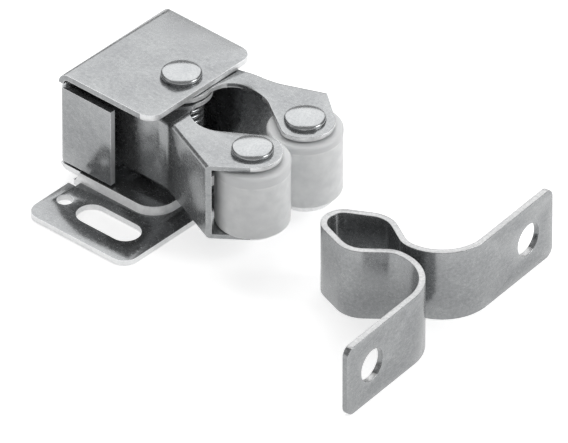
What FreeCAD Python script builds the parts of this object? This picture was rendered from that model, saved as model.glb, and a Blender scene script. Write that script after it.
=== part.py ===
import FreeCAD, Part
import math
import os

import Sketcher
from FreeCAD import Placement, Rotation, Vector

# Double roller catch for a cupboard door, with its striker.
# Millimetres. The origin is on the pivot axis, at the underside of the wings.
# +Z is up, -Y points to the front, where the striker comes in, and X runs across.

# Driving sizes, each written once
sizes = {
    # folded sheet of the housing and of the arms
    "sheet": 0.75,
    "arm_sheet": 0.6,
    # housing: wings
    "wing_half": 18.2,
    "wing_rear": 8.5,
    "wing_front": 7.5,
    "wing_corner": 1.9,
    "slot_offset": 13.3,
    "slot_span": 9.1,
    "slot_wide": 3.8,
    "slot_middle": -0.45,
    "screw_hole": 2.0,
    "screw_hole_back": 6.5,
    # housing: raised platform
    "platform_rise": 1.0,
    "platform_half": 9.2,
    "platform_front": 4.2,
    "platform_corner": 3.0,
    "riser_slant": 19.0,
    "relief_width": 0.9,
    "relief_depth": 1.1,
    # housing: rear wall, top plate and side flaps
    "wall_rear": 11.3,
    "wall_half": 9.0,
    "plate_front": 3.37,
    "plate_corner": 1.8,
    "low_bend": 1.5,
    "high_bend": 1.5,
    "flap_front": 3.1,
    "flap_gap_low": 0.35,
    "flap_gap_high": 1.35,
    "flap_bend": 0.9,
    "fold_land": 0.3,
    # pivot rivet
    "pivot_shank": 3.0,
    "pivot_head": 4.9,
    "pivot_clench": 4.2,
    "rivet_rim": 0.55,
    "rivet_dome": 0.4,
    "clench_high": 0.5,
    # arms, seen from above
    "arm_half": 6.45,
    "arm_tail": 8.0,
    "tail_inset": 1.3,
    "bend_place": 3.24,
    "bend_round": 6.0,
    "flare": 22.4,
    "arm_front": 13.3,
    "arm_bend": 0.5,
    "pivot_ear": 3.7,
    "roller_ear": 3.55,
    "opening_round": 4.15,
    "opening_shift": 0.85,
    "opening_place": 7.6,
    "opening_slant": 33.0,
    "ear_corner": 1.5,
    # arms, seen from the side
    "joggle_place": 3.6,
    "left_joggle_round": 1.3,
    "right_joggle_round": 9.0,
    "floor_gap": 0.65,
    "ear_gap": 0.25,
    "ear_step": 0.7,
    "plate_gap": 0.15,
    # rollers and their rivets
    "roller_across": 9.0,
    "roller_long": 8.75,
    "roller_apart": 4.6,
    "roller_front": 15.3,
    "roller_edge": 0.35,
    "lip_high": 0.6,
    "lip_proud": 0.05,
    "roller_shank": 3.0,
    "roller_head": 5.0,
    "roller_clench": 4.2,
    "left_roller_gap": 0.05,
    "left_ear_gap": 0.4,
    "right_roller_gap": 0.45,
    "right_ear_gap": 0.25,
    # clearance of each shank in what turns on it
    "running_gap": 0.05,
    # spring
    "wire": 0.6,
    "coil_round": 2.35,
    "coil_gap": 0.75,
    "coil_pitch": 0.82,
    "coil_turns": 7.0,
    "leg_slant": 23.0,
    "leg_seat": 0.05,
    # striker
    "strip": 0.8,
    "strip_high": 9.6,
    "flange_half": 20.2,
    "neck_half": 1.45,
    "neck_place": 7.3,
    "neck_round": 2.4,
    "flare_round": 5.6,
    "bulb_half": 4.6,
    "bulb_place": 11.85,
    "bulb_round": 3.85,
    "bulb_depth": 18.15,
    "nose_round": 2.7,
    "nose_half": 1.8,
    "strip_corner": 1.2,
    "striker_hole": 4.2,
    "striker_hole_apart": 30.8,
    "striker_across": -2.6,
    "striker_away": 44.43,
    "striker_turn": 5.3,
}

# Length that reaches past everything, for cuts that go right through
beyond = 60.0

# Distance within which two points count as the same place
near = 1e-3

doc = FreeCAD.newDocument("roller_catch")
sheet = doc.addObject("Spreadsheet::Sheet", "Sizes")
for row, (alias, number) in enumerate(sizes.items(), start=1):
    sheet.set(f"A{row}", alias)
    sheet.set(f"B{row}", str(number))
    sheet.setAlias(f"B{row}", alias)
doc.recompute()


def words(value):
    return value.text if isinstance(value, Size) else repr(float(value))


class Size(float):
    """A number that remembers the expression it is worked out from."""

    def __new__(cls, number, text):
        made = float.__new__(cls, number)
        made.text = text
        return made

    def __add__(self, other):
        return Size(float(self) + float(other), f"({self.text} + {words(other)})")

    def __radd__(self, other):
        return Size(float(other) + float(self), f"({words(other)} + {self.text})")

    def __sub__(self, other):
        return Size(float(self) - float(other), f"({self.text} - {words(other)})")

    def __rsub__(self, other):
        return Size(float(other) - float(self), f"({words(other)} - {self.text})")

    def __mul__(self, other):
        return Size(float(self) * float(other), f"({self.text} * {words(other)})")

    def __rmul__(self, other):
        return Size(float(other) * float(self), f"({words(other)} * {self.text})")

    def __truediv__(self, other):
        return Size(float(self) / float(other), f"({self.text} / {words(other)})")

    def __neg__(self):
        return Size(-float(self), f"(-1 * {self.text})")


def sine(angle):
    return Size(math.sin(math.radians(angle)), f"sin({words(angle)})")


def cosine(angle):
    return Size(math.cos(math.radians(angle)), f"cos({words(angle)})")


def tangent(angle):
    return Size(math.tan(math.radians(angle)), f"tan({words(angle)})")


def size(alias):
    return Size(float(sheet.get(alias)), f"Sizes.{alias}")


def tie(thing, name, value):
    """Set a property and bind it to the sheet."""
    if isinstance(value, Size):
        thing.setExpression(name, value.text)
    else:
        setattr(thing, name, value)


# Levels of the ears and of the plate, which follow from the rollers between them

armSheet = size("arm_sheet")
rightLow = size("platform_rise") + size("sheet") + size("floor_gap")
leftLow = rightLow + armSheet + size("ear_gap")
rightSeat = rightLow + armSheet + size("right_roller_gap")
leftSeat = leftLow + armSheet + size("left_roller_gap")
rightHigh = rightSeat + size("roller_long") + size("right_ear_gap") + armSheet
leftHigh = leftSeat + size("roller_long") + size("left_ear_gap") + armSheet
leftPivotHigh = leftHigh - size("ear_step")
rightPivotHigh = leftPivotHigh + size("ear_gap") + armSheet
plateHigh = rightPivotHigh + size("plate_gap") + size("sheet")


# Sketches

def newBody(name):
    body = doc.addObject("PartDesign::Body", name)
    body.Label = name
    return body


def newSketch(body, name, plane, lift=None):
    drawn = body.newObject("Sketcher::SketchObject", name)
    support = [f for f in body.Origin.OriginFeatures if f.Role == plane][0]
    drawn.AttachmentSupport = (support, [""])
    drawn.MapMode = "FlatFace"
    if lift is not None:
        drawn.setExpression("AttachmentOffset.Base.z", words(lift))
    return drawn


def addLine(drawn, start, end):
    return drawn.addGeometry(Part.LineSegment(Vector(*start, 0), Vector(*end, 0)), False)


def addArc(drawn, centre, radius, first, last):
    """Arc that runs counter-clockwise between two angles in degrees."""
    circle = Part.Circle(Vector(*centre, 0), Vector(0, 0, 1), float(radius))
    arc = Part.ArcOfCircle(circle, math.radians(first), math.radians(last))
    return drawn.addGeometry(arc, False)


def fixPoint(drawn, geometry, point, x=None, y=None):
    """Hold a point of a sketch at its distances from the origin."""
    for value, kind, axis in ((x, "DistanceX", -2), (y, "DistanceY", -1)):
        if value is None:
            continue
        if abs(float(value)) < 1e-9:
            drawn.addConstraint(Sketcher.Constraint("PointOnObject", geometry, point, axis))
            continue
        rule = Sketcher.Constraint(kind, -1, 1, geometry, point, float(value))
        number = drawn.addConstraint(rule)
        if isinstance(value, Size):
            drawn.setExpression(f"Constraints[{number}]", value.text)


def fixRadius(drawn, geometry, radius):
    number = drawn.addConstraint(Sketcher.Constraint("Radius", geometry, float(radius)))
    drawn.setExpression(f"Constraints[{number}]", words(radius))


def touch(drawn, first, firstPoint, second, secondPoint, kind="Coincident"):
    drawn.addConstraint(Sketcher.Constraint(kind, first, firstPoint, second, secondPoint))


def addOutline(drawn, corners):
    """Closed outline of straight sides through the given corners."""
    lines = []
    for place, corner in enumerate(corners):
        lines.append(addLine(drawn, corner, corners[(place + 1) % len(corners)]))
    for place, line in enumerate(lines):
        touch(drawn, line, 2, lines[(place + 1) % len(lines)], 1)
    for line, corner in zip(lines, corners):
        fixPoint(drawn, line, 1, *corner)
    return lines


def addCircle(drawn, centre, radius):
    circle = Part.Circle(Vector(*centre, 0), Vector(0, 0, 1), float(radius))
    made = drawn.addGeometry(circle, False)
    fixPoint(drawn, made, 3, *centre)
    fixRadius(drawn, made, radius)


def addSlot(drawn, centre, span, wide):
    """Round-ended slot that runs along the sketch's second axis."""
    x, y = centre
    radius = wide / 2
    reach = span / 2 - radius
    top = addArc(drawn, (x, y + reach), radius, 0, 180)
    low = addArc(drawn, (x, y - reach), radius, 180, 360)
    left = addLine(drawn, (x - radius, y + reach), (x - radius, y - reach))
    right = addLine(drawn, (x + radius, y - reach), (x + radius, y + reach))
    touch(drawn, top, 2, left, 1, "Tangent")
    touch(drawn, left, 2, low, 1, "Tangent")
    touch(drawn, low, 2, right, 1, "Tangent")
    touch(drawn, right, 2, top, 1, "Tangent")
    fixPoint(drawn, top, 3, x, y + reach)
    fixPoint(drawn, low, 3, x, y - reach)
    fixRadius(drawn, top, radius)


def rectangle(low, high):
    return [(low[0], low[1]), (high[0], low[1]), (high[0], high[1]), (low[0], high[1])]


# Features

def pad(body, drawn, length, both=False, taper=None):
    made = body.newObject("PartDesign::Pad", f"{drawn.Name}_pad")
    made.Profile = drawn
    if both:
        made.SideType = "Symmetric"
    tie(made, "Length", length)
    if taper is not None:
        tie(made, "TaperAngle", taper)
    return made


def pocket(body, drawn, length=None, upward=False, taper=None):
    """Cut along the sketch's normal, or both ways right through."""
    made = body.newObject("PartDesign::Pocket", f"{drawn.Name}_pocket")
    made.Profile = drawn
    if length is None:
        made.SideType = "Symmetric"
        made.Length = 2 * beyond
    else:
        tie(made, "Length", length)
        made.Reversed = upward
    if taper is not None:
        tie(made, "TaperAngle", taper)
    return made


def fillet(body, name, wanted, radius):
    """Round each edge of the body so far that the test picks."""
    doc.recompute()
    base = body.Tip
    picked = [f"Edge{n}" for n, edge in enumerate(base.Shape.Edges, start=1) if wanted(edge)]
    if not picked:
        raise ValueError(f"{name} finds no edge")
    made = body.newObject("PartDesign::Fillet", name)
    made.Base = (base, picked)
    tie(made, "Radius", radius)
    return made


def upright(edge):
    """True for a straight edge along Z."""
    if len(edge.Vertexes) != 2:
        return False
    along = edge.Vertexes[1].Point - edge.Vertexes[0].Point
    return math.hypot(along.x, along.y) < near / 10


def uprightAt(*places):
    """Test for upright edges at given places in plan."""
    def wanted(edge):
        if not upright(edge):
            return False
        point = edge.Vertexes[0].Point
        return any(math.hypot(point.x - x, point.y - y) < near for x, y in places)
    return wanted


def middle(edge):
    low, high = edge.ParameterRange
    return edge.valueAt((low + high) / 2)


# Housing: one folded sheet

def housing():
    body = newBody("housing")
    t = size("sheet")
    half = size("wall_half")
    rear = size("wall_rear")
    top = plateHigh
    rise = size("platform_rise")
    flapLow = rise + t + size("flap_gap_low")
    flapHigh = top - t - size("flap_gap_high")
    foldStart = half - size("flap_bend") - size("fold_land")

    # rear wall between platform and top plate, as a block that is then hollowed
    drawn = newSketch(body, "housing_block", "YZ_Plane")
    addOutline(drawn, rectangle((-size("plate_front"), rise), (rear, top)))
    pad(body, drawn, half * 2, both=True)

    def bendAt(level, y):
        def wanted(edge):
            point = middle(edge)
            return abs(point.z - level) < near and abs(point.y - y) < near and abs(point.x) < near
        return wanted

    fillet(body, "low_bend_outside", bendAt(rise, rear), size("low_bend"))
    fillet(body, "high_bend_outside", bendAt(top, rear), size("high_bend"))
    drawn = newSketch(body, "housing_inside", "YZ_Plane")
    addOutline(drawn, rectangle((-beyond, rise + t), (rear - t, top - t)))
    pocket(body, drawn)

    # the rounded front of the platform is added with the wings
    drawn = newSketch(body, "platform_front_room", "YZ_Plane")
    cut = size("platform_corner") - size("platform_front")
    addOutline(drawn, rectangle((-beyond, -beyond), (cut, rise + t)))
    pocket(body, drawn)

    fillet(body, "low_bend_inside", bendAt(rise + t, rear - t), size("low_bend") - t)
    fillet(body, "high_bend_inside", bendAt(top - t, rear - t), size("high_bend") - t)

    # room beside the wall where the flaps fold forward
    drawn = newSketch(body, "flap_room", "XZ_Plane")
    for side in (-1, 1):
        low = (foldStart * side, rise + t)
        high = (side * beyond, top - size("high_bend"))
        addOutline(drawn, rectangle(low, high))
    pocket(body, drawn)

    # side flaps
    drawn = newSketch(body, "flaps", "XY_Plane", flapLow)
    for side in (-1, 1):
        addOutline(drawn, [
            (foldStart * side, rear - t),
            (foldStart * side, rear),
            (half * side, rear),
            (half * side, size("flap_front")),
            ((half - t) * side, size("flap_front")),
            ((half - t) * side, rear - t),
        ])
    pad(body, drawn, flapHigh - flapLow)
    outer = uprightAt((half, rear), (-half, rear))
    within = uprightAt((half - t, rear - t), (t - half, rear - t))

    # the rear wall has short upright edges at the same places
    def tall(test):
        return lambda edge: test(edge) and edge.Length > flapHigh - flapLow - t

    fillet(body, "flap_bend_outside", tall(outer), size("flap_bend"))
    fillet(body, "flap_bend_inside", tall(within), size("flap_bend") - t)

    # wings
    drawn = newSketch(body, "wings", "XY_Plane")
    wing = size("wing_half")
    addOutline(drawn, rectangle((-wing, -size("wing_front")), (wing, size("wing_rear"))))
    pad(body, drawn, t)
    wingCorners = [(wing * a, y) for a in (-1, 1) for y in (-size("wing_front"), size("wing_rear"))]
    fillet(body, "wing_corners", uprightAt(*wingCorners), size("wing_corner"))

    # platform with slanted risers, open to the rear
    slant = size("riser_slant")
    spread = (rise + t) * tangent(slant)
    wall = t / cosine(slant)
    outline = (
        ("platform", size("wing_rear"), spread, rise + t),
        ("platform_under", size("wing_rear") + t / 2, spread - wall, rise),
    )
    for name, back, grow, high in outline:
        drawn = newSketch(body, name, "XY_Plane")
        across = size("platform_half") + grow
        front = size("platform_front") + grow
        corner = size("platform_corner") + grow
        addPlatform(drawn, across, front, back, corner)
        if name == "platform":
            pad(body, drawn, high, taper=-slant)
        else:
            pocket(body, drawn, high, upward=True, taper=-slant)

    # openings
    drawn = newSketch(body, "screw_slots", "XY_Plane")
    for side in (-1, 1):
        place = (size("slot_offset") * side, size("slot_middle"))
        addSlot(drawn, place, size("slot_span"), size("slot_wide"))
        hole = (size("slot_offset") * side, size("screw_hole_back"))
        addCircle(drawn, hole, size("screw_hole") / 2)
    pocket(body, drawn)
    drawn = newSketch(body, "wing_relief", "XY_Plane")
    foot = size("platform_half") + rise * tangent(slant)
    for side in (-1, 1):
        low = (foot * side, size("wing_rear") - size("relief_depth"))
        high = ((foot + size("relief_width")) * side, size("wing_rear") + t)
        addOutline(drawn, rectangle(low, high))
    pocket(body, drawn)
    drawn = newSketch(body, "pivot_holes", "XY_Plane")
    addCircle(drawn, (0, 0), size("pivot_shank") / 2)
    pocket(body, drawn)
    plateCorners = uprightAt((half, -size("plate_front")), (-half, -size("plate_front")))

    def onPlate(edge):
        return plateCorners(edge) and middle(edge).z > float(top - 2 * t)

    fillet(body, "plate_corners", onPlate, size("plate_corner"))
    return body


def addPlatform(drawn, across, front, back, corner):
    """Rectangle with its two front corners rounded."""
    left = addArc(drawn, (-across + corner, -front + corner), corner, 180, 270)
    right = addArc(drawn, (across - corner, -front + corner), corner, 270, 360)
    frontLine = addLine(drawn, (-across + corner, -front), (across - corner, -front))
    rightLine = addLine(drawn, (across, -front + corner), (across, back))
    backLine = addLine(drawn, (across, back), (-across, back))
    leftLine = addLine(drawn, (-across, back), (-across, -front + corner))
    touch(drawn, left, 2, frontLine, 1, "Tangent")
    touch(drawn, frontLine, 2, right, 1, "Tangent")
    touch(drawn, right, 2, rightLine, 1, "Tangent")
    touch(drawn, rightLine, 2, backLine, 1)
    touch(drawn, backLine, 2, leftLine, 1)
    touch(drawn, leftLine, 2, left, 1, "Tangent")
    fixPoint(drawn, left, 3, -across + corner, -front + corner)
    fixPoint(drawn, right, 3, across - corner, -front + corner)
    fixPoint(drawn, backLine, 1, across, back)
    fixPoint(drawn, backLine, 2, -across, back)
    fixRadius(drawn, left, corner)
    fixRadius(drawn, right, corner)


# Rivets and rollers: turned about their own axis

def revolve(body, drawn):
    made = body.newObject("PartDesign::Revolution", f"{drawn.Name}_turned")
    made.Profile = drawn
    made.ReferenceAxis = (drawn, ["V_Axis"])
    made.Angle = 360
    return made


def rivet(name, place, shank, head, clench, seatHigh, seatLow):
    """Rivet with a domed head on seatHigh and a clenched end under seatLow."""
    body = newBody(name)
    drawn = newSketch(body, f"{name}_half", "XZ_Plane")
    rim = seatHigh + size("rivet_rim")
    crown = rim + size("rivet_dome")
    foot = seatLow - size("clench_high")
    corners = [
        (0, foot),
        (clench / 2 - size("clench_high") / 2, foot),
        (clench / 2, foot + size("clench_high") / 2),
        (clench / 2, seatLow),
        (shank / 2, seatLow),
        (shank / 2, seatHigh),
        (head / 2, seatHigh),
        (head / 2, rim),
    ]
    lines = [addLine(drawn, a, b) for a, b in zip(corners, corners[1:])]
    for first, second in zip(lines, lines[1:]):
        touch(drawn, first, 2, second, 1)
    for line, corner in zip(lines, corners):
        fixPoint(drawn, line, 1, *corner)
    fixPoint(drawn, lines[-1], 2, *corners[-1])
    reach = float(head) / 2
    dome = float(size("rivet_dome"))
    radius = (reach ** 2 + dome ** 2) / (2 * dome)
    edge = math.degrees(math.asin((radius - dome) / radius))
    arc = addArc(drawn, (0, crown - radius), radius, edge, 90)
    axis = addLine(drawn, (0, crown), corners[0])
    touch(drawn, lines[-1], 2, arc, 1)
    touch(drawn, arc, 2, axis, 1)
    touch(drawn, axis, 2, lines[0], 1)
    drawn.addConstraint(Sketcher.Constraint("PointOnObject", arc, 3, -2))
    fixPoint(drawn, axis, 1, 0, crown)
    revolve(body, drawn)
    body.Placement = Placement(Vector(*place, 0), Rotation())
    return body


def roller(name, place, low):
    """Nylon roller with a slightly proud lip round its upper end."""
    body = newBody(name)
    drawn = newSketch(body, f"{name}_half", "XZ_Plane")
    bore = size("roller_shank") / 2 + size("running_gap")
    outer = size("roller_across") / 2
    high = low + size("roller_long")
    lip = high - size("lip_high")
    proud = size("lip_proud")
    addOutline(drawn, [
        (bore, low),
        (outer, low),
        (outer, lip - proud),
        (outer + proud, lip),
        (outer + proud, high),
        (bore, high),
    ])
    revolve(body, drawn)

    def rim(edge):
        box = edge.BoundBox
        ends = abs(box.ZMin - low) < near or abs(box.ZMin - high) < near
        return ends and box.XMax > outer - near and box.ZLength < near

    fillet(body, f"{name}_edges", rim, size("roller_edge"))
    body.Placement = Placement(Vector(*place, 0), Rotation())
    return body


# Arms: folded channels with a joggled upper ear

def addProfile(drawn, floor, pivotLevel, rollerLevel, joggle, grow, rear, tail=None):
    """Side view of an arm: floor, and a ceiling that steps between two levels.

    grow is how far the ceiling lies under the outer face, so that both faces
    of the sheet turn about the same centres."""
    start = -size("joggle_place")
    rising = rollerLevel > pivotLevel
    hollow = joggle + grow
    crest = joggle - grow
    first, second = (hollow, crest) if rising else (crest, hollow)
    sign = 1 if rising else -1
    step = abs(float(rollerLevel) - float(pivotLevel))
    turn = math.degrees(math.acos(1 - step / (float(first) + float(second))))
    run = (float(first) + float(second)) * math.sin(math.radians(turn))
    end = float(start) - run
    front = -beyond / 2
    if tail is None:
        corners = [(front, floor), (rear, floor), (rear, pivotLevel), (start, pivotLevel)]
    else:
        inset = size("tail_inset")
        corners = [
            (front, floor), (rear, floor), (rear, floor + inset), (tail, floor + inset),
            (tail, pivotLevel - inset), (rear, pivotLevel - inset),
            (rear, pivotLevel), (start, pivotLevel),
        ]
    lines = [addLine(drawn, a, b) for a, b in zip(corners, corners[1:])]
    for one, other in zip(lines, lines[1:]):
        touch(drawn, one, 2, other, 1)
    for line, corner in zip(lines, corners):
        fixPoint(drawn, line, 1, *corner)
    fixPoint(drawn, lines[-1], 2, *corners[-1])
    firstCentre = (start, pivotLevel + first * sign)
    secondCentre = (end, rollerLevel - second * sign)
    if rising:
        one = addArc(drawn, firstCentre, first, 270 - turn, 270)
        other = addArc(drawn, secondCentre, second, 90 - turn, 90)
        joints = ((lines[-1], 2, one, 2), (one, 1, other, 1), (other, 2))
    else:
        one = addArc(drawn, firstCentre, first, 90, 90 + turn)
        other = addArc(drawn, secondCentre, second, 270, 270 + turn)
        joints = ((lines[-1], 2, one, 1), (one, 2, other, 2), (other, 1))
    ceiling = addLine(drawn, (end, rollerLevel), (front, rollerLevel))
    face = addLine(drawn, (front, rollerLevel), (front, floor))
    touch(drawn, *joints[0], "Tangent")
    touch(drawn, *joints[1], "Tangent")
    touch(drawn, *joints[2], ceiling, 1, "Tangent")
    touch(drawn, ceiling, 2, face, 1)
    touch(drawn, face, 2, lines[0], 1)
    fixPoint(drawn, ceiling, 2, front, rollerLevel)
    drawn.addConstraint(Sketcher.Constraint("Horizontal", ceiling))
    fixRadius(drawn, one, first)
    fixRadius(drawn, other, second)


def addWallLine(drawn, offset, back, frontPlace):
    """Line of the arm's wall in plan: straight, a round bend, then the flare.

    offset is how far inside the outer face it lies. Gives the three pieces."""
    flare = size("flare")
    across = size("arm_half") - offset
    radius = size("bend_round") + offset
    corner = size("bend_place") + offset * tangent(flare / 2)
    reach = radius * tangent(flare / 2)
    centre = (-across - radius, -corner + reach)
    front = (-across - (frontPlace - corner) * tangent(flare), -frontPlace)
    straight = addLine(drawn, (-across, back), (-across, -corner + reach))
    bend = addArc(drawn, centre, radius, -float(flare), 0)
    turned = (
        float(centre[0]) + float(radius) * math.cos(math.radians(flare)),
        float(centre[1]) - float(radius) * math.sin(math.radians(flare)),
    )
    slanted = addLine(drawn, turned, front)
    touch(drawn, straight, 2, bend, 2, "Tangent")
    touch(drawn, bend, 1, slanted, 1, "Tangent")
    fixPoint(drawn, straight, 1, -across, back)
    fixPoint(drawn, bend, 3, *centre)
    fixRadius(drawn, bend, radius)
    fixPoint(drawn, slanted, 2, *front)
    return straight, bend, slanted, front


def openingCentre():
    return (-size("opening_shift"), -size("opening_place"))


def innerEdge():
    """Ends of the straight edge that runs from the round of the opening to the ear's round."""
    slant = size("opening_slant")
    hollow = size("opening_round")
    centre = openingCentre()
    start = (centre[0] - hollow * cosine(slant), centre[1] - hollow * sine(slant))
    toward = (math.sin(math.radians(slant)), -math.cos(math.radians(slant)))
    dx = -float(size("roller_apart")) - float(start[0])
    dy = -float(size("roller_front")) - float(start[1])
    along = dx * toward[0] + dy * toward[1]
    aside = dx * toward[1] - dy * toward[0]
    long = along + math.sqrt(float(size("roller_ear")) ** 2 - aside ** 2)
    end = (float(start[0]) + long * toward[0], float(start[1]) + long * toward[1])
    return start, end


def addArmPlan(drawn):
    """Outline of the arm seen from above, with both ears in line."""
    tail = size("arm_tail")
    ear = size("pivot_ear")
    straight, _, slanted, front = addWallLine(drawn, 0, tail, size("arm_front"))
    axis = (-size("roller_apart"), -size("roller_front"))
    radius = size("roller_ear")
    # the ear's front edge is the tangent from the wall's front corner to the round of the ear
    dx = float(front[0]) - float(axis[0])
    dy = float(front[1]) - float(axis[1])
    firstAngle = math.atan2(dy, dx) + math.acos(float(radius) / math.hypot(dx, dy))
    firstPoint = (
        float(axis[0]) + float(radius) * math.cos(firstAngle),
        float(axis[1]) + float(radius) * math.sin(firstAngle),
    )
    start, lastPoint = innerEdge()
    lastAngle = math.atan2(lastPoint[1] - float(axis[1]), lastPoint[0] - float(axis[0]))
    nose = addArc(drawn, axis, radius, math.degrees(firstAngle), math.degrees(lastAngle) + 360)
    frontLine = addLine(drawn, front, firstPoint)
    innerLine = addLine(drawn, lastPoint, start)

    # round rear end of the opening, from the round of the pivot ear to the inner edge
    hollow = size("opening_round")
    centre = openingCentre()
    away = math.hypot(*centre)
    along = (float(ear) ** 2 - float(hollow) ** 2 + away ** 2) / (2 * away)
    aside = math.sqrt(float(ear) ** 2 - along ** 2)
    meet = (
        (float(centre[0]) * along + float(centre[1]) * aside) / away,
        (float(centre[1]) * along - float(centre[0]) * aside) / away,
    )
    rearAngle = math.atan2(meet[1] - float(centre[1]), meet[0] - float(centre[0]))
    opening = addArc(drawn, centre, hollow, math.degrees(rearAngle), 180 + size("opening_slant"))
    disc = addArc(drawn, (0, 0), ear, math.degrees(math.atan2(meet[1], meet[0])), 90)
    inside = size("arm_half") - armSheet
    backLine = addLine(drawn, (0, ear), (-inside, ear))
    tailInner = addLine(drawn, (-inside, ear), (-inside, tail))
    tailEnd = addLine(drawn, (-inside, tail), (-size("arm_half"), tail))

    touch(drawn, slanted, 2, frontLine, 1)
    touch(drawn, frontLine, 2, nose, 1, "Tangent")
    touch(drawn, nose, 2, innerLine, 1)
    touch(drawn, innerLine, 2, opening, 2, "Tangent")
    touch(drawn, opening, 1, disc, 1)
    touch(drawn, disc, 2, backLine, 1)
    touch(drawn, backLine, 2, tailInner, 1)
    touch(drawn, tailInner, 2, tailEnd, 1)
    touch(drawn, tailEnd, 2, straight, 1)
    fixPoint(drawn, nose, 3, *axis)
    fixRadius(drawn, nose, radius)
    fixPoint(drawn, innerLine, 2, y=start[1])
    fixPoint(drawn, opening, 3, *centre)
    fixRadius(drawn, opening, hollow)
    touch(drawn, disc, 3, -1, 1)
    fixRadius(drawn, disc, ear)
    fixPoint(drawn, backLine, 1, 0)
    fixPoint(drawn, backLine, 2, -inside, ear)
    fixPoint(drawn, tailInner, 2, -inside, tail)


def filletWall(body, name, rear, radius):
    """Round the edges where the arm's wall turns into its ears."""
    doc.recompute()
    base = body.Tip
    lean = math.cos(math.radians(size("flare") * 1.5))
    picked = []
    for number, edge in enumerate(base.Shape.Edges, start=1):
        if upright(edge) or middle(edge).y > rear:
            continue
        for face in base.Shape.ancestorsOfType(edge, Part.Face):
            u0, u1, v0, v1 = face.ParameterRange
            normal = face.normalAt((u0 + u1) / 2, (v0 + v1) / 2)
            outward = normal.x < -lean and normal.y > -near
            if outward and abs(normal.z) < near:
                picked.append(f"Edge{number}")
    made = body.newObject("PartDesign::Fillet", name)
    made.Base = (base, picked)
    tie(made, "Radius", radius)


def arm(name, low, pivotHigh, rollerHigh, joggle, mirrored=False):
    t = armSheet
    rear = size("pivot_ear")
    blank = newBody(f"{name}_blank")
    drawn = newSketch(blank, f"{name}_side", "YZ_Plane")
    addProfile(drawn, low, pivotHigh, rollerHigh, joggle, 0, rear, size("arm_tail"))
    pad(blank, drawn, beyond, both=True)
    drawn = newSketch(blank, f"{name}_plan", "XY_Plane")
    addOutline(drawn, rectangle((-beyond, -beyond), (beyond, beyond)))
    addArmPlan(drawn)
    pocket(blank, drawn)
    fillet(blank, f"{name}_ear_corner", uprightAt(innerEdge()[1]), size("ear_corner"))
    filletWall(blank, f"{name}_bends", rear, size("arm_bend"))
    drawn = newSketch(blank, f"{name}_holes", "XY_Plane")
    addCircle(drawn, (0, 0), size("pivot_shank") / 2 + size("running_gap"))
    axis = (-size("roller_apart"), -size("roller_front"))
    addCircle(drawn, axis, size("roller_shank") / 2)
    pocket(blank, drawn)

    core = newBody(f"{name}_core")
    drawn = newSketch(core, f"{name}_core_side", "YZ_Plane")
    addProfile(drawn, low + t, pivotHigh - t, rollerHigh - t, joggle, t, rear + t)
    pad(core, drawn, beyond, both=True)
    drawn = newSketch(core, f"{name}_core_plan", "XY_Plane")
    addOutline(drawn, rectangle((-beyond, -beyond), (beyond, beyond)))
    # the core reaches past the roller to the front and past the pivot ear to the side
    across = size("roller_across")
    back = rear + 2 * t
    straight, _, slanted, front = addWallLine(drawn, t, back, size("roller_front") + across)
    frontEdge = addLine(drawn, front, (across, front[1]))
    sideEdge = addLine(drawn, (across, front[1]), (across, back))
    backEdge = addLine(drawn, (across, back), (t - size("arm_half"), back))
    touch(drawn, slanted, 2, frontEdge, 1)
    touch(drawn, frontEdge, 2, sideEdge, 1)
    touch(drawn, sideEdge, 2, backEdge, 1)
    touch(drawn, backEdge, 2, straight, 1)
    fixPoint(drawn, frontEdge, 2, across, front[1])
    fixPoint(drawn, sideEdge, 2, across, back)
    pocket(core, drawn)

    folded = doc.addObject("Part::Cut", f"{name}_folded")
    folded.Base = blank
    folded.Tool = core
    if not mirrored:
        folded.Label = name
        return folded
    other = doc.addObject("Part::Mirroring", f"{name}_mirrored")
    other.Source = folded
    other.Normal = Vector(1, 0, 0)
    other.Label = name
    return other


# Spring: torsion coil with two legs that press the tails apart

def spring():
    body = newBody("spring")
    wire = size("wire")
    around = size("coil_round")
    low = leftLow + armSheet + wire / 2 + size("coil_gap")
    slant = size("leg_slant")
    turns = size("coil_turns") + (180 - 2 * slant) / 360
    drawn = newSketch(body, "spring_wire", "XZ_Plane")
    addCircle(drawn, (around, low), wire / 2)
    coil = body.newObject("PartDesign::AdditiveHelix", "spring_coil")
    coil.Profile = drawn
    coil.ReferenceAxis = (drawn, ["V_Axis"])
    coil.Mode = "pitch-turns-angle"
    tie(coil, "Pitch", size("coil_pitch"))
    tie(coil, "Turns", turns)
    coil.LeftHanded = True
    doc.recompute()

    # each leg runs along the tangent of the coil's end to the inner face of a tail
    inside = size("arm_half") - armSheet - size("leg_seat") - wire / 2
    high = low + size("coil_pitch") * turns
    legs = []
    for name, side, level in (("low_leg", 1, low), ("high_leg", -1, high)):
        turn = math.radians(slant)
        start = Vector(side * around * math.cos(turn), -around * math.sin(turn), level)
        toward = Vector(side * math.sin(turn), math.cos(turn), 0)
        long = (float(inside) - abs(start.x)) / math.sin(turn)
        legs.append((name, start, toward, long))
    shift = Placement(Vector(), Rotation(Vector(0, 0, 1), -float(slant)))
    body.Placement = shift
    for name, start, toward, long in legs:
        leg = body.newObject("PartDesign::AdditiveCylinder", name)
        tie(leg, "Radius", wire / 2)
        leg.Height = long
        standing = Placement(start, Rotation(Vector(0, 0, 1), toward))
        leg.Placement = shift.inverse().multiply(standing)
    return body


# Striker: one folded strip with a round nose between two screw flanges

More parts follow.
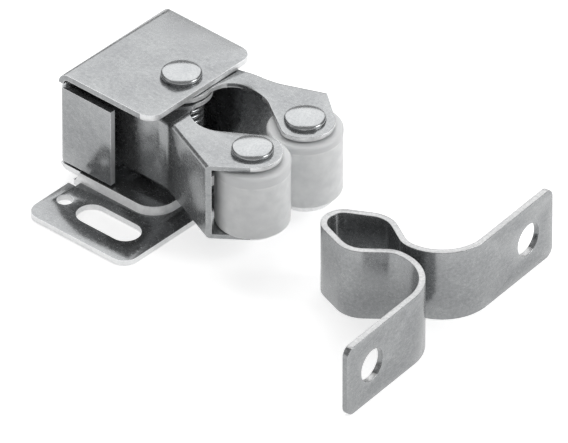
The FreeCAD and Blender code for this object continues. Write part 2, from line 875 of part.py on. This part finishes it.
def striker():
    t = size("strip")
    half = size("flange_half")
    path = [
        (half, t), (size("neck_half"), t),
        (size("neck_half"), size("neck_place")),
        (size("bulb_half"), size("bulb_place")),
        (size("nose_half"), size("bulb_depth")),
    ]
    rounds = [
        size("flare_round"), size("neck_round"),
        size("bulb_round"), size("nose_round"),
    ]
    body = newBody("striker_bar")
    drawn = newSketch(body, "striker_outer", "XY_Plane")
    outer = path + [(-x, y) for x, y in reversed(path)]
    inner = [offsetCorner(path, place, t) for place in range(len(path))]
    inner = inner + [(-x, y) for x, y in reversed(inner)]
    addOutline(drawn, outer + list(reversed(inner)))
    pad(body, drawn, size("strip_high"))
    for place, radius in enumerate(rounds, start=1):
        away = place in (1, 2)
        for name, points, change in (("outer", outer, 0), ("inner", inner, t if away else -t)):
            spots = (points[place], (-points[place][0], points[place][1]))
            fillet(body, f"striker_{name}_round_{place}", uprightAt(*spots), radius + change)

    def freeCorner(edge):
        point = middle(edge)
        across = abs(abs(point.x) - half) < near and abs(point.y - t / 2) < near
        return across and edge.BoundBox.ZLength < near

    fillet(body, "striker_corners", freeCorner, size("strip_corner"))
    drawn = newSketch(body, "striker_holes", "XZ_Plane")
    for side in (-1, 1):
        place = (size("striker_hole_apart") / 2 * side, size("strip_high") / 2)
        addCircle(drawn, place, size("striker_hole") / 2)
    pocket(body, drawn)
    body.Label = "striker"
    turn = Rotation(Vector(0, 0, 1), float(size("striker_turn")))
    body.Placement = Placement(Vector(size("striker_across"), -size("striker_away"), 0), turn)
    return body


def offsetCorner(path, place, distance):
    """Corner of the line that runs inside the given path at one distance."""
    x, y = (float(value) for value in path[place])

    def side(first, second):
        dx = float(second[0]) - float(first[0])
        dy = float(second[1]) - float(first[1])
        long = math.hypot(dx, dy)
        return (-dy / long, dx / long)

    before = side(path[place - 1], path[place]) if place else None
    after = side(path[place], path[place + 1]) if place + 1 < len(path) else (0.0, 1.0)
    if before is None:
        return (path[place][0], path[place][1] - distance)
    if place + 1 == len(path):
        after = (0.0, -1.0)
    mitre = 1 + before[0] * after[0] + before[1] * after[1]
    shift_x = (before[0] + after[0]) / mitre * float(distance)
    shift_y = (before[1] + after[1]) / mitre * float(distance)
    return (x + shift_x, y + shift_y)


# Build

leftAxis = (-size("roller_apart"), -size("roller_front"))
rightAxis = (size("roller_apart"), -size("roller_front"))

pivot = (size("pivot_shank"), size("pivot_head"), size("pivot_clench"))
wheel = (size("roller_shank"), size("roller_head"), size("roller_clench"))

pieces = {
    "housing": housing(),
    "pivot_rivet": rivet("pivot_rivet", (0, 0), *pivot, plateHigh, size("platform_rise")),
    "left_arm": arm("left_arm", leftLow, leftPivotHigh, leftHigh, size("left_joggle_round")),
    "right_arm": arm("right_arm", rightLow, rightPivotHigh, rightHigh,
                     size("right_joggle_round"), mirrored=True),
    "left_roller": roller("left_roller", leftAxis, leftSeat),
    "right_roller": roller("right_roller", rightAxis, rightSeat),
    "left_roller_rivet": rivet("left_roller_rivet", leftAxis, *wheel, leftHigh, leftLow),
    "right_roller_rivet": rivet("right_roller_rivet", rightAxis, *wheel, rightHigh, rightLow),
    "spring": spring(),
    "striker": striker(),
}

doc.recompute()
for thing in doc.Objects:
    if "Invalid" in thing.State or "Error" in thing.State:
        raise RuntimeError(f"{thing.Name} did not build: {thing.State}")
os.makedirs("parts", exist_ok=True)
for node, piece in pieces.items():
    shape = piece.Shape
    if shape.isNull() or not shape.isValid():
        raise RuntimeError(f"{node} has no sound shape")
    if len(shape.Solids) != 1:
        raise RuntimeError(f"{node} has {len(shape.Solids)} solids")
    print(node, round(shape.Volume, 2), [round(v, 3) for v in (
        shape.BoundBox.XMin, shape.BoundBox.XMax, shape.BoundBox.YMin,
        shape.BoundBox.YMax, shape.BoundBox.ZMin, shape.BoundBox.ZMax)])
    shape.exportStep(f"parts/{node}.step")
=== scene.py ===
import math

import bmesh
import bpy
from mathutils import Matrix, Vector


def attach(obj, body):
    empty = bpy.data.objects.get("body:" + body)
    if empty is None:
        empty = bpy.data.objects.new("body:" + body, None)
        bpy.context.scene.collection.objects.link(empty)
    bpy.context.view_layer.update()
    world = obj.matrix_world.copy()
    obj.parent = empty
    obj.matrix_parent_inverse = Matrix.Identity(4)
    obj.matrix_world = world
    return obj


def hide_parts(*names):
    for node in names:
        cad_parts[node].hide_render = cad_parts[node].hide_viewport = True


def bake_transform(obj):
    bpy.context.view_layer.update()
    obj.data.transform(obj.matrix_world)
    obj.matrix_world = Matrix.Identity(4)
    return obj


# Looks of a double roller catch and its striker. Metres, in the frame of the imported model.

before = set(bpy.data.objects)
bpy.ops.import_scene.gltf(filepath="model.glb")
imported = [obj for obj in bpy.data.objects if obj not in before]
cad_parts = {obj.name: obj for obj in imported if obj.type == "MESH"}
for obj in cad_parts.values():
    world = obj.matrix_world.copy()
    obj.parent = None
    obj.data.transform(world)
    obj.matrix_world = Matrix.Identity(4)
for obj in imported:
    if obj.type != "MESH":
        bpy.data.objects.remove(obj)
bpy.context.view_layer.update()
print("frame loaded")

mm = 0.001


# Materials

steelLook = {
    "light": (0.46, 0.47, 0.475),     # top of the grain
    "dark": (0.33, 0.34, 0.345),      # bottom of the grain
    "edge": (0.88, 0.89, 0.90),       # worn and cut edges, with a painted edge highlight
    "edgeWidth": 0.10 * mm,
    "wearAndSheenSpan": (0.80, 0.995),        # how far the rounded normal turns on an edge, as a cosine
    "wearAndSheenSamples": 8,
    "grainPerMetre": 2600,
    "grainDetail": 3.0,
    "grainRough": 0.7,
    "grainShare": 0.55,
    "marksRough": 0.6,
    "marksShare": 0.45,
    "grainSpan": (0.36, 0.64),
    "streak": 2,                      # how much longer than wide the rolling marks are
    "cloudPerMetre": 260,
    "cloudDetail": 4.0,
    "cloudRough": 0.5,
    "cloudSpan": (0.3, 0.7),
    "cloudDark": (0.86, 0.86, 0.87),
    "cloudLight": (1.0, 1.0, 1.0),
    "roughLow": 0.17,
    "roughHigh": 0.30,
    "roughSpan": (0.35, 0.65),
    "metallic": 0.8,
    "bump": 0.006 * mm,
    "bumpStrength": 0.5,
}
# the pale steel of cut edges: partly the sheared metal's own paleness and partly a painted
# highlight
shearedAndSheenLook = steelLook | {
    "light": (1.0, 1.0, 1.0),
    "dark": (0.88, 0.89, 0.89),
    "streak": 1,
    "roughLow": 0.30,
    "roughHigh": 0.45,
    "metallic": 0.6,
}
stripEdgeLook = shearedAndSheenLook | {
    "dark": (0.70, 0.71, 0.71),
    "edge": (0.68, 0.69, 0.69),
}
springLook = steelLook | {
    "streak": 1,
    "roughLow": 0.18,
    "roughHigh": 0.3,
}
rivetLook = steelLook | {
    "light": (0.48, 0.49, 0.495),
    "dark": (0.42, 0.43, 0.435),
    "grainPerMetre": 3600,
    "cloudPerMetre": 420,
    "streak": 1,
    "roughLow": 0.15,
    "roughHigh": 0.20,
    "bump": 0.001 * mm,
    "metallic": 0.9,
}
nylonLook = {
    "light": (0.95, 0.96, 0.96),
    "dark": (0.82, 0.83, 0.835),
    "cloudPerMetre": 700,
    "cloudDetail": 3.0,
    "cloudSpan": (0.3, 0.7),
    "grainPerMetre": 3800,
    "grainDetail": 2.0,
    "noiseRough": 0.5,
    "rough": 0.36,
    "refraction": 1.53,
    "scatter": 0.35,
    "scatterEach": (1.0, 1.0, 1.0),   # red, green and blue go equally deep
    "depth": 0.9 * mm,
    "bump": 0.004 * mm,
    "bumpStrength": 0.4,
    "aboveRingTone": (0.82, 0.83, 0.835),      # a darker, even tone above the ring
    "ring": (1.0, 1.0, 1.0),
    "ringDown": 1.5 * mm,             # from the top of the roller down to the pale ring
    "ringWide": 0.16 * mm,
    "ringSpan": (0.42, 0.60),         # where the clouding lets the ring show
}
# painted shade: copies of the one plating, each part darkened by its own amount to stand in for
# how the light falls on it
steelShade = {"housing": 0.87, "arm": 0.9, "striker": 0.8, "stripEdge": 0.74}
strikerTurn = math.radians(-5.3)      # the striker stands a little askew


def newMaterial(name):
    material = bpy.data.materials.new(name)
    material.use_nodes = True
    return material, material.node_tree, material.node_tree.nodes["Principled BSDF"]


def addPlace(tree, stretch=(1, 1, 1), turn=0.0):
    place = tree.nodes.new("ShaderNodeTexCoord")
    mapping = tree.nodes.new("ShaderNodeMapping")
    mapping.inputs["Scale"].default_value = stretch
    mapping.inputs["Rotation"].default_value = (0, 0, turn)
    tree.links.new(place.outputs["Object"], mapping.inputs["Vector"])
    return mapping.outputs["Vector"]


def addNoise(tree, source, scale, detail, rough):
    noise = tree.nodes.new("ShaderNodeTexNoise")
    noise.inputs["Scale"].default_value = scale
    noise.inputs["Detail"].default_value = detail
    noise.inputs["Roughness"].default_value = rough
    tree.links.new(source, noise.inputs["Vector"])
    return noise.outputs["Fac"]


def addHeight(tree, source):
    parts = tree.nodes.new("ShaderNodeSeparateXYZ")
    tree.links.new(source, parts.inputs["Vector"])
    return parts.outputs["Z"]


def addRamp(tree, source, low, high, span):
    ramp = tree.nodes.new("ShaderNodeValToRGB")
    for stop, place, colour in zip(ramp.color_ramp.elements, span, (low, high)):
        stop.position = place
        stop.color = (*colour, 1)
    tree.links.new(source, ramp.inputs["Fac"])
    return ramp.outputs["Color"]


def addRange(tree, source, low, high, span):
    spread = tree.nodes.new("ShaderNodeMapRange")
    spread.inputs["From Min"].default_value = span[0]
    spread.inputs["From Max"].default_value = span[1]
    spread.inputs["To Min"].default_value = low
    spread.inputs["To Max"].default_value = high
    tree.links.new(source, spread.inputs["Value"])
    return spread.outputs["Result"]


def addMix(tree, factor, first, second, kind="MIX"):
    mix = tree.nodes.new("ShaderNodeMix")
    mix.data_type = "RGBA"
    mix.blend_type = kind
    if isinstance(factor, float):
        mix.inputs["Factor"].default_value = factor
    else:
        tree.links.new(factor, mix.inputs["Factor"])
    sockets = {socket.name: socket for socket in mix.inputs if socket.type == "RGBA"}
    for name, value in (("A", first), ("B", second)):
        if isinstance(value, tuple):
            sockets[name].default_value = (*value, 1)
        else:
            tree.links.new(value, sockets[name])
    return [socket for socket in mix.outputs if socket.type == "RGBA"][0]


def addMath(tree, kind, *values):
    step = tree.nodes.new("ShaderNodeMath")
    step.operation = kind
    for socket, value in zip(step.inputs, values):
        if isinstance(value, (int, float)):
            socket.default_value = value
        else:
            tree.links.new(value, socket)
    return step.outputs["Value"]


def addBump(tree, source, shader, look):
    bump = tree.nodes.new("ShaderNodeBump")
    bump.inputs["Strength"].default_value = look["bumpStrength"]
    bump.inputs["Distance"].default_value = look["bump"]
    tree.links.new(source, bump.inputs["Height"])
    tree.links.new(bump.outputs["Normal"], shader.inputs["Normal"])


# share of worn edge and painted edge highlight, 1 on an edge and 0 away from it
def addEdgeWearAndSheen(tree, look):
    bevel = tree.nodes.new("ShaderNodeBevel")
    bevel.samples = look["wearAndSheenSamples"]
    bevel.inputs["Radius"].default_value = look["edgeWidth"]
    shape = tree.nodes.new("ShaderNodeNewGeometry")
    dot = tree.nodes.new("ShaderNodeVectorMath")
    dot.operation = "DOT_PRODUCT"
    tree.links.new(bevel.outputs["Normal"], dot.inputs[0])
    tree.links.new(shape.outputs["True Normal"], dot.inputs[1])
    return addRange(tree, dot.outputs["Value"], 1.0, 0.0, look["wearAndSheenSpan"])


# satin zinc plating with fine grain, soft clouding, rolling marks and bright edges that are
# partly wear and partly a painted highlight
def platedSteel(name, look, turn=0.0, along="X", shade=1.0):
    material, tree, shader = newMaterial(name)
    stretch = {"X": (1 / look["streak"], 1, 1), "Y": (1, 1 / look["streak"], 1)}[along]
    place = addPlace(tree)
    rolled = addPlace(tree, stretch, turn)
    perMetre, detail = look["grainPerMetre"], look["grainDetail"]
    grain = addNoise(tree, place, perMetre, detail, look["grainRough"])
    marks = addNoise(tree, rolled, perMetre, detail, look["marksRough"])
    cloud = addNoise(tree, place, look["cloudPerMetre"], look["cloudDetail"], look["cloudRough"])
    grain = addMath(tree, "MULTIPLY", grain, look["grainShare"])
    marks = addMath(tree, "MULTIPLY", marks, look["marksShare"])
    surface = addMath(tree, "ADD", grain, marks)
    light = tuple(part * shade for part in look["light"])
    dark = tuple(part * shade for part in look["dark"])
    base = addRamp(tree, surface, dark, light, look["grainSpan"])
    clouded = addRamp(tree, cloud, look["cloudDark"], look["cloudLight"], look["cloudSpan"])
    base = addMix(tree, 1.0, base, clouded, "MULTIPLY")
    # edges lightened: partly wear and partly a painted edge highlight
    base = addMix(tree, addEdgeWearAndSheen(tree, look), base, look["edge"])
    tree.links.new(base, shader.inputs["Base Color"])
    rough = addRange(tree, surface, look["roughLow"], look["roughHigh"], look["roughSpan"])
    tree.links.new(rough, shader.inputs["Roughness"])
    shader.inputs["Metallic"].default_value = look["metallic"]
    addBump(tree, surface, shader, look)
    return material


# milky nylon: light scatters a little way in, and a pale broken ring runs below the top
def whiteNylon(name, look, top):
    material, tree, shader = newMaterial(name)
    place = addPlace(tree)
    height = addHeight(tree, place)
    ringAt = top - look["ringDown"]
    cloud = addNoise(tree, place, look["cloudPerMetre"], look["cloudDetail"], look["noiseRough"])
    grain = addNoise(tree, place, look["grainPerMetre"], look["grainDetail"], look["noiseRough"])
    base = addRamp(tree, cloud, look["dark"], look["light"], look["cloudSpan"])
    above = addRange(tree, height, 0.0, 1.0, (ringAt, ringAt + look["ringWide"]))
    base = addMix(tree, above, base, look["aboveRingTone"])
    apart = addMath(tree, "ABSOLUTE", addMath(tree, "SUBTRACT", height, ringAt))
    near = addRange(tree, apart, 1.0, 0.0, (0.0, look["ringWide"]))
    broken = addRange(tree, cloud, 0.0, 1.0, look["ringSpan"])
    base = addMix(tree, addMath(tree, "MULTIPLY", near, broken), base, look["ring"])
    tree.links.new(base, shader.inputs["Base Color"])
    shader.inputs["Roughness"].default_value = look["rough"]
    shader.inputs["IOR"].default_value = look["refraction"]
    shader.inputs["Subsurface Weight"].default_value = look["scatter"]
    shader.inputs["Subsurface Radius"].default_value = look["scatterEach"]
    shader.inputs["Subsurface Scale"].default_value = look["depth"]
    addBump(tree, grain, shader, look)
    return material


def dress(node, material):
    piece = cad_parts[node]
    if not piece.material_slots:
        piece.data.materials.append(material)
    for slot in piece.material_slots:
        slot.material = material


housingSteel = platedSteel("housingSteel", steelLook, along="Y", shade=steelShade["housing"])
armSteel = platedSteel("armSteel", steelLook, along="Y", shade=steelShade["arm"])
strikerSteel = platedSteel("strikerSteel", steelLook, strikerTurn, shade=steelShade["striker"])
rivetSteel = platedSteel("rivetSteel", rivetLook)
springSteel = platedSteel("springSteel", springLook)
# pale steels: on cut edges partly a painted highlight, on the riser below the platform a painted
# highlight only
shearedAndSheenSteel = platedSteel("shearedAndSheenSteel", shearedAndSheenLook)
stripEdge = platedSteel("stripEdge", stripEdgeLook, shade=steelShade["stripEdge"])

rollerTop = max(vertex.co.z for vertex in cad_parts["left_roller"].data.vertices)
nylon = whiteNylon("whiteNylon", nylonLook, rollerTop)
for node in ("left_roller", "right_roller"):
    dress(node, nylon)
print("materials done")


# Pieces that stand for a CAD node: a copy of its mesh is merged, worked on and finished

pieceFinish = {
    "merge": 0.0005 * mm,
    "sharpAngle": math.radians(40.0),
    "upright": 0.1,                   # a face whose normal rises less than this is a wall
}


# leaves the copy in edit mode with nothing selected
def openCopy(node, name):
    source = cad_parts[node]
    mesh = source.data.copy()
    mesh.transform(source.matrix_world)
    mesh.name = name
    piece = bpy.data.objects.new(name, mesh)
    bpy.context.collection.objects.link(piece)
    bpy.ops.object.select_all(action="DESELECT")
    piece.select_set(True)
    bpy.context.view_layer.objects.active = piece
    bpy.ops.object.mode_set(mode="EDIT")
    bpy.ops.mesh.select_all(action="SELECT")
    bpy.ops.mesh.remove_doubles(threshold=pieceFinish["merge"])
    bpy.ops.mesh.select_all(action="DESELECT")
    return piece


def setSteels(piece, *steels):
    piece.data.materials.clear()
    for steel in steels:
        piece.data.materials.append(steel)


def closeCopy(node):
    bpy.ops.object.shade_smooth_by_angle(angle=pieceFinish["sharpAngle"])
    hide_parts(node)


# Folded sheets: their sharp edges are broken, and the sheared edges of the sheet are paler,
# partly from the sheared metal and partly as a painted highlight

sheetLook = {
    "housing": {
        "body": "catch_body", "sheet": 0.75 * mm, "edge": 0.06 * mm,
        "steel": housingSteel, "cutAndSheenSteel": shearedAndSheenSteel, "onEdge": False,
    },
    "left_arm": {
        "body": "left_swing", "sheet": 0.6 * mm, "edge": 0.05 * mm,
        "steel": armSteel, "cutAndSheenSteel": shearedAndSheenSteel, "onEdge": False,
    },
    "right_arm": {
        "body": "right_swing", "sheet": 0.6 * mm, "edge": 0.05 * mm,
        "steel": armSteel, "cutAndSheenSteel": shearedAndSheenSteel, "onEdge": False,
    },
    "striker": {
        "body": "catch_body", "sheet": 0.8 * mm, "edge": 0.07 * mm,
        "steel": strikerSteel, "cutAndSheenSteel": stripEdge, "onEdge": True,
    },
}
sheetFinish = {
    "flatAngle": math.radians(0.5),   # faces closer to one plane than this become one
    "edgeSteps": 2,
    "level": 0.9,                     # a face whose normal rises more than this is level
    "likeSheet": 0.03,                # how near to the sheet's thickness a cut edge measures
    "endTall": 2,                     # a cut end is at least this many sheets tall
    "endFacing": 0.8,                 # and faces this much to the front or the rear
    "riserLean": math.radians(19.0),  # the riser below the platform, painted pale as a highlight
    "leanSpread": 0.15,
    "riserHigh": 3.5 * mm,
    "riserRear": 7.0 * mm,
}


def isRiser(face, points, finish):
    leaning = abs(face.normal.z - math.sin(finish["riserLean"])) < finish["leanSpread"]
    low = max(point.z for point in points) < finish["riserHigh"]
    return leaning and low and face.center.y < finish["riserRear"]


# pale where the sheet was sheared, partly a painted highlight, and on the riser below the
# platform, which is a painted highlight
def isPale(face, points, look, finish):
    if look["onEdge"]:
        return abs(face.normal.z) > finish["level"]
    if abs(face.normal.z) > pieceFinish["upright"]:
        return isRiser(face, points, finish)
    sheet = look["sheet"]
    spans = [max(axis) - min(axis) for axis in zip(*points)]
    near = finish["likeSheet"] * sheet
    along = abs(spans[2] - sheet) < near
    across = abs(math.hypot(spans[0], spans[1]) - sheet) < near
    ending = across and spans[2] > finish["endTall"] * sheet
    return along or (ending and abs(face.normal.y) > finish["endFacing"])


def foldedSheet(node, look, finish):
    piece = openCopy(node, node + "_folded")
    mesh = piece.data
    bpy.ops.mesh.select_all(action="SELECT")
    bpy.ops.mesh.dissolve_limited(angle_limit=finish["flatAngle"])
    bpy.ops.object.mode_set(mode="OBJECT")
    setSteels(piece, look["steel"], look["cutAndSheenSteel"])
    # cut edges and the riser get the pale steel, the riser as a painted highlight and the cut
    # edges partly so
    for face in mesh.polygons:
        points = [mesh.vertices[place].co for place in face.vertices]
        face.material_index = int(isPale(face, points, look, finish))
    rounding = piece.modifiers.new("edges", "BEVEL")
    rounding.width = look["edge"]
    rounding.segments = finish["edgeSteps"]
    rounding.limit_method = "ANGLE"
    rounding.angle_limit = pieceFinish["sharpAngle"]
    rounding.use_clamp_overlap = True
    bpy.ops.object.modifier_apply(modifier=rounding.name)
    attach(piece, look["body"])
    closeCopy(node)


for node, look in sheetLook.items():
    foldedSheet(node, look, sheetFinish)
print("folded sheets done")


# Rivets: the rim of each pressed head is rolled over

rivetBody = {
    "pivot_rivet": "catch_body",
    "left_roller_rivet": "left_swing",
    "right_roller_rivet": "right_swing",
}
rivetShape = {
    "rollOver": 0.22 * mm,
    "steps": 5,
    "headAbove": 2.0 * mm,            # a rim further out than this belongs to a head
}


# the level edge between the wall of a head and its crown
def isRim(edge, middle, look):
    first, second = (vertex.co for vertex in edge.verts)
    level = abs(first.z - second.z) < pieceFinish["merge"]
    wide = all((point.xy - middle.xy).length > look["headAbove"] for point in (first, second))
    walls = sorted(abs(face.normal.z) < pieceFinish["upright"] for face in edge.link_faces)
    crowned = any(
        face.normal.z * (face.calc_center_median().z - middle.z) > 0 for face in edge.link_faces
    )
    return level and wide and walls == [False, True] and crowned


def rolledRivet(node, body, look):
    piece = openCopy(node, node + "_rolled")
    working = bmesh.from_edit_mesh(piece.data)
    spans = list(zip(*(vertex.co for vertex in working.verts)))
    middle = Vector([(min(axis) + max(axis)) / 2 for axis in spans])
    for edge in working.edges:
        edge.select = isRim(edge, middle, look)
    bmesh.update_edit_mesh(piece.data)
    bpy.ops.mesh.bevel(
        offset=look["rollOver"], segments=look["steps"], affect="EDGES", clamp_overlap=True
    )
    bpy.ops.object.mode_set(mode="OBJECT")
    setSteels(piece, rivetSteel)
    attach(piece, body)
    closeCopy(node)


for node, body in rivetBody.items():
    rolledRivet(node, body, rivetShape)
print("rivets done")


# Spring: it is cut at its middle into an upper half and a lower half

springShape = {
    "middle": 8.0 * mm,
    "calm": 0.9 * mm,                 # the coil stands still this far from its middle
}
springHalves = {
    "spring_upper": {"body": "left_swing", "side": 1, "end": 10.4 * mm},
    "spring_lower": {"body": "right_swing", "side": -1, "end": 5.4 * mm},
}


def springHalf(name, half, look):
    piece = openCopy("spring", name)
    working = bmesh.from_edit_mesh(piece.data)
    for face in working.faces:
        height = face.calc_center_median().z - look["middle"]
        face.select_set(height * half["side"] < 0)
    bmesh.update_edit_mesh(piece.data)
    bpy.ops.mesh.delete(type="FACE")
    bpy.ops.object.mode_set(mode="OBJECT")
    setSteels(piece, springSteel)
    closeCopy("spring")
    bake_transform(piece)


for name, half in springHalves.items():
    springHalf(name, half, springShape)
print("spring done")


# Floor, light and camera

floorLook = {
    "size": 1.6,
    "below": 0.02 * mm,
    "colour": (0.86, 0.86, 0.86),
    "rough": 0.9,
    "specular": 0.2,
    "paper": 0.62,                    # glow that the camera and mirror images see
}
lampAim = (0, -20 * mm, 5 * mm)
lampLook = {
    "back": {"at": (0.24, 0.21, 0.32), "size": 0.46, "watts": 1.05},
    "front": {"at": (0.20, -0.38, 0.28), "size": 0.20, "watts": 0.75},
    "left": {"at": (-0.30, 0.27, 0.30), "size": 0.20, "watts": 0.05},
}
worldLook = {
    "sky": 0.38,                      # brightness overhead
    "horizon": 0.96,                  # brightness of the white screens around the table
    "screenHigh": 0.22,               # how far up the screens reach, as the sine of the angle
    "dimSide": (0.75, 0.65, 0.0),     # the side without screens
    "dim": 0.5,
    "dimSpan": (-0.2, 0.7),
}
cameraLook = {
    "around": math.radians(-48.2),    # 0 looks along +Y
    "above": math.radians(35.9),
    "away": 2.5,
    "lookAt": (-3.8 * mm, -19.5 * mm, 5.0 * mm),
    "widthSeen": 66.36 * mm,          # across the picture at that distance
    "sensor": 36.0,                   # in millimetres, as Blender keeps it
    "nearest": 10 * mm,
}
white = (1, 1, 1, 1)


def addFloor(look):
    bpy.ops.object.select_all(action="DESELECT")
    bpy.ops.mesh.primitive_plane_add(size=look["size"], location=(0, 0, 0))
    floor = bpy.context.object
    floor.name = "floor"
    floor.data.transform(floor.matrix_world)
    floor.data.transform(Matrix.Translation((0, 0, -look["below"])))
    material, tree, shader = newMaterial("paleFloor")
    shader.inputs["Base Color"].default_value = (*look["colour"], 1)
    shader.inputs["Roughness"].default_value = look["rough"]
    shader.inputs["Specular IOR Level"].default_value = look["specular"]
    path = tree.nodes.new("ShaderNodeLightPath").outputs
    seen = addMath(tree, "MAXIMUM", path["Is Camera Ray"], path["Is Glossy Ray"])
    seen = addMath(tree, "MAXIMUM", seen, path["Is Transmission Ray"])
    paper = tree.nodes.new("ShaderNodeEmission")
    paper.inputs["Color"].default_value = white
    glow = addMath(tree, "MULTIPLY", seen, look["paper"])
    tree.links.new(glow, paper.inputs["Strength"])
    both = tree.nodes.new("ShaderNodeAddShader")
    tree.links.new(shader.outputs["BSDF"], both.inputs[0])
    tree.links.new(paper.outputs["Emission"], both.inputs[1])
    tree.links.new(both.outputs["Shader"], tree.nodes["Material Output"].inputs["Surface"])
    floor.data.materials.append(material)


def addLamp(name, look):
    data = bpy.data.lights.new(name, "AREA")
    data.size = look["size"]
    data.energy = look["watts"]
    lamp = bpy.data.objects.new(name, data)
    bpy.context.collection.objects.link(lamp)
    lamp.location = look["at"]
    aim = Vector(lampAim) - Vector(look["at"])
    lamp.rotation_euler = aim.to_track_quat("-Z", "Y").to_euler()


# a studio with white screens round the table, a darker ceiling and one dim side
def addWorld(look):
    world = bpy.data.worlds.new("studio")
    world.use_nodes = True
    tree = world.node_tree
    toward = tree.nodes.new("ShaderNodeTexCoord").outputs["Generated"]
    rise = addHeight(tree, toward)
    screen = addRange(tree, rise, look["horizon"], look["sky"], (0.0, look["screenHigh"]))
    across = tree.nodes.new("ShaderNodeVectorMath")
    across.operation = "DOT_PRODUCT"
    across.inputs[1].default_value = look["dimSide"]
    tree.links.new(toward, across.inputs[0])
    dim = addRange(tree, across.outputs["Value"], 1.0, look["dim"], look["dimSpan"])
    background = tree.nodes["Background"]
    background.inputs["Color"].default_value = white
    tree.links.new(addMath(tree, "MULTIPLY", screen, dim), background.inputs["Strength"])
    bpy.context.scene.world = world


def addCamera(look):
    turn, rise = look["around"], look["above"]
    flat = math.cos(rise)
    back = Vector((math.sin(turn) * flat, -math.cos(turn) * flat, math.sin(rise)))
    data = bpy.data.cameras.new("camera")
    data.sensor_width = look["sensor"]
    data.lens = data.sensor_width * look["away"] / look["widthSeen"]
    data.clip_start = look["nearest"]
    camera = bpy.data.objects.new("camera", data)
    bpy.context.collection.objects.link(camera)
    camera.location = Vector(look["lookAt"]) + back * look["away"]
    camera.rotation_euler = (-back).to_track_quat("-Z", "Y").to_euler()
    bpy.context.scene.camera = camera


addFloor(floorLook)
for name, look in lampLook.items():
    addLamp(name, look)
addWorld(worldLook)
addCamera(cameraLook)
bpy.context.scene.view_settings.view_transform = "Standard"
print("floor, light and camera done")
